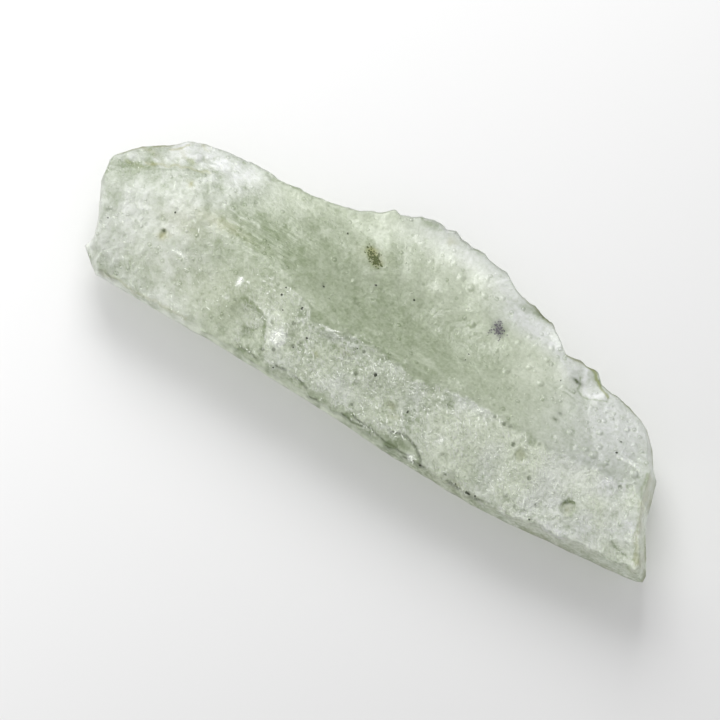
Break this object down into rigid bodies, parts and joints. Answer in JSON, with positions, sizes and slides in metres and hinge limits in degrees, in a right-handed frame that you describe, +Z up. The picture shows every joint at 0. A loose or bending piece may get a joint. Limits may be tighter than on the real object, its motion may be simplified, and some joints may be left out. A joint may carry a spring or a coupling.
{
  "type": "andara glass",
  "caption": "Rough elongated chunk of pale green slag glass with a smooth scooped fracture, a frosted broken face and a thin chipped back edge; a specimen resting on a flat facet.",
  "frame": {"origin": "centre of the bounding box in plan, on the flat base facet", "axes": "+X along the chunk towards the pointed front corner, +Y from the frosted front face to the thin back edge, +Z up"},
  "size_m": [0.0726, 0.0251, 0.0102],
  "materials": {
    "slag_glass": "translucent pale grey-green, glossy on the smooth fracture and frosted on the granular face"
  },
  "bodies": {
    "root": {"glass_chunk": "slag_glass"}
  },
  "joints": []
}
